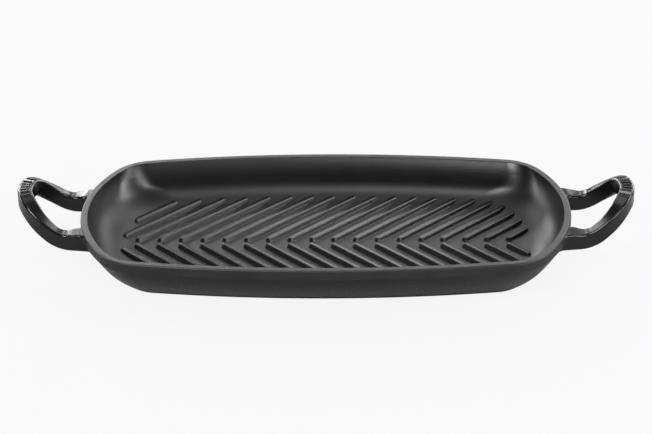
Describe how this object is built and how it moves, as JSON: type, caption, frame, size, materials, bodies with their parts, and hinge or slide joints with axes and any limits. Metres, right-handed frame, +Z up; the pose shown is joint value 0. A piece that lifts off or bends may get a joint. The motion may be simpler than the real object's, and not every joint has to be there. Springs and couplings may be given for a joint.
{
  "type": "grill skillet",
  "caption": "Oblong black enamelled cast iron grill skillet with herringbone ribs, a foot ring and two raised loop handles.",
  "frame": {"origin": "on the table under the middle of the pan", "axes": "+Z up, +X along the pan towards the right handle, +Y away from the viewer of the picture"},
  "size_m": [0.4756, 0.185, 0.0633],
  "materials": {
    "satin_enamel": "satin black enamel on cast iron",
    "rim_enamel": "matte grey-black enamel, thin over the rim's edges",
    "matte_enamel": "matte black enamel cooking surface with a fine tooth",
    "gloss_enamel": "semi-gloss black enamel on cast iron"
  },
  "bodies": {
    "root": {"pan_body": "satin_enamel", "rim_collar": "rim_enamel", "foot_ring": "satin_enamel", "ribs_back": "matte_enamel", "ribs_front": "matte_enamel", "handle_left": "gloss_enamel", "handle_right": "gloss_enamel", "grip_bars_left": "gloss_enamel", "grip_bars_right": "gloss_enamel"}
  },
  "joints": []
}
